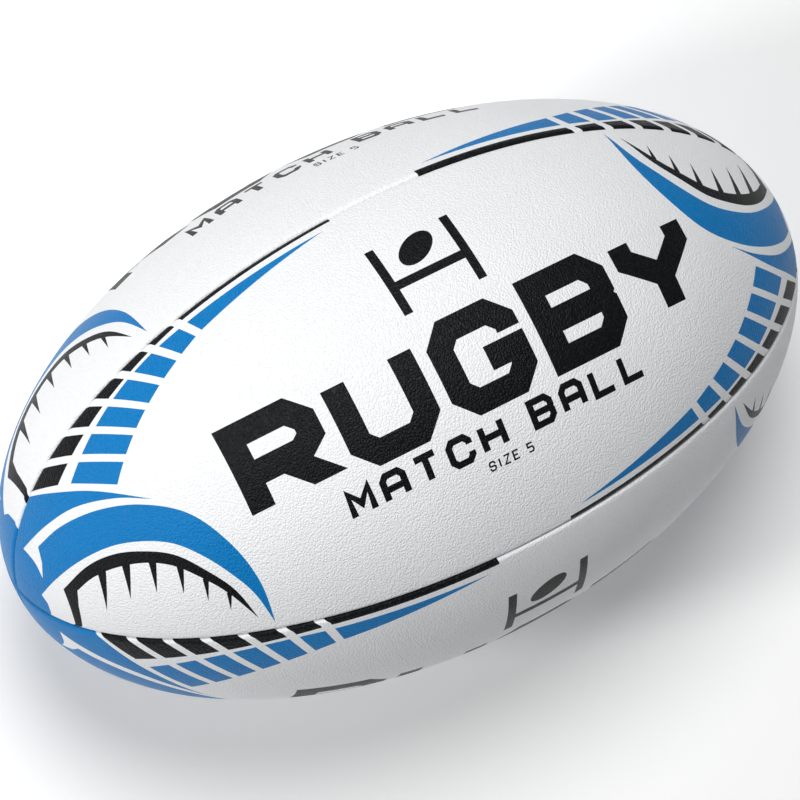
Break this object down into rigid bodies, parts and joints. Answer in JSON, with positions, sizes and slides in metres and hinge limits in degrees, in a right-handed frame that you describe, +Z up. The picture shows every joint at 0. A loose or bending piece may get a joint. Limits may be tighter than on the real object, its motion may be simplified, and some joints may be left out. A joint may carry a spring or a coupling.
{
  "type": "rugby ball",
  "caption": "Full-size oval rugby ball of stitched rubber panels over cloth linings, with an air bladder and a needle valve.",
  "frame": {"origin": "the ball's centre, halfway between the tips on the long axis", "axes": "+X along the long axis, +Z up out of the middle of the top panel, +Y out of the middle of the rear panel"},
  "size_m": [0.3, 0.1748, 0.1748],
  "materials": {
    "cover_rubber": "satin white rubber with a fine pebbled grain, printed in blue and black",
    "lining_cloth": "woven polyester-cotton laminate",
    "seam_thread": "waxed polyester thread",
    "bladder_latex": "satin latex",
    "valve_rubber": "satin black butyl",
    "plug_rubber": "soft latex"
  },
  "bodies": {
    "root": {"cover_panel_top": "cover_rubber", "lining_top": "lining_cloth", "seam_thread_top_rear": "seam_thread", "cover_panel_rear": "cover_rubber", "lining_rear": "lining_cloth", "seam_thread_rear_bottom": "seam_thread", "cover_panel_bottom": "cover_rubber", "lining_bottom": "lining_cloth", "seam_thread_bottom_front": "seam_thread", "cover_panel_front": "cover_rubber", "lining_front": "lining_cloth", "seam_thread_front_top": "seam_thread", "bladder": "bladder_latex", "valve_collar": "valve_rubber", "valve_patch": "bladder_latex", "valve_body": "valve_rubber", "valve_plug": "plug_rubber"}
  },
  "joints": []
}
